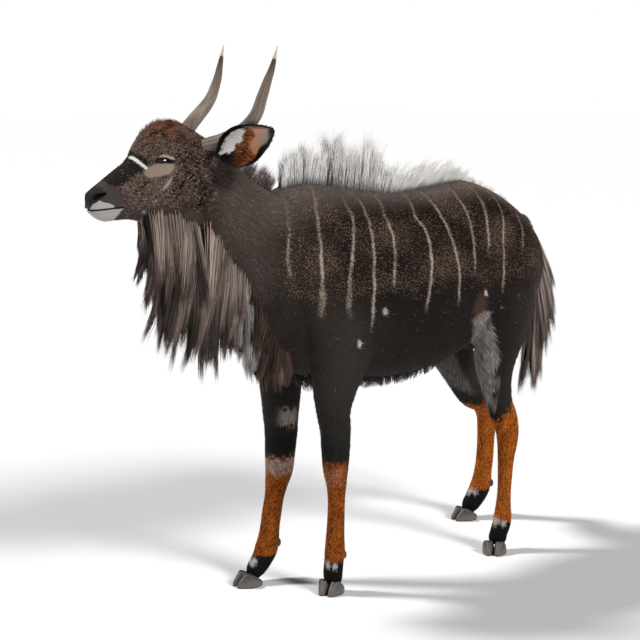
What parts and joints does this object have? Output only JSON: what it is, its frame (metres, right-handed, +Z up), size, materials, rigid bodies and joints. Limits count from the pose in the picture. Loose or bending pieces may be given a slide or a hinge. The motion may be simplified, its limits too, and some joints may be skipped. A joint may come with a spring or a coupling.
{
  "type": "lowland nyala bull, standing, life-size still model",
  "caption": "Still life-size model of a lowland nyala bull standing with its head turned a little to the right; long crest, throat fringe and tail hair as locks; rests on flat hoof soles.",
  "frame": {"origin": "middle of the whole animal's box in x and y, on the floor under its hooves", "axes": "+Z up; the animal faces -X, so its left side is towards -Y"},
  "size_m": [1.6518, 0.384, 1.4682],
  "materials": {
    "coat_dark": "short dark hair with pale stripes",
    "coat_head": "short speckled brown hair",
    "coat_leg": "short rufous hair below the knees and hocks",
    "hair_tail": "long coarse hair",
    "horn": "ridged grey-brown horn with pale tips",
    "hoof": "smooth taupe-grey hoof",
    "eye": "wet dark eye",
    "ear": "thin haired ear with a dark rim"
  },
  "bodies": {
    "root": {"head": "coat_head", "neck": "coat_dark", "torso": "coat_dark", "tail": "hair_tail", "leg_front_left": "coat_leg", "leg_front_right": "coat_leg", "leg_hind_left": "coat_leg", "leg_hind_right": "coat_leg", "ear_left": "ear", "ear_right": "ear", "eye_left": "eye", "eye_right": "eye", "horn_left": "horn", "horn_right": "horn", "hoof_front_left_inner": "hoof", "hoof_front_left_outer": "hoof", "hoof_front_right_inner": "hoof", "hoof_front_right_outer": "hoof", "hoof_hind_left_inner": "hoof", "hoof_hind_left_outer": "hoof", "hoof_hind_right_inner": "hoof", "hoof_hind_right_outer": "hoof", "dewclaw_front_left_inner": "hoof", "dewclaw_front_left_outer": "hoof", "dewclaw_front_right_inner": "hoof", "dewclaw_front_right_outer": "hoof", "dewclaw_hind_left_inner": "hoof", "dewclaw_hind_left_outer": "hoof", "dewclaw_hind_right_inner": "hoof", "dewclaw_hind_right_outer": "hoof"}
  },
  "joints": []
}
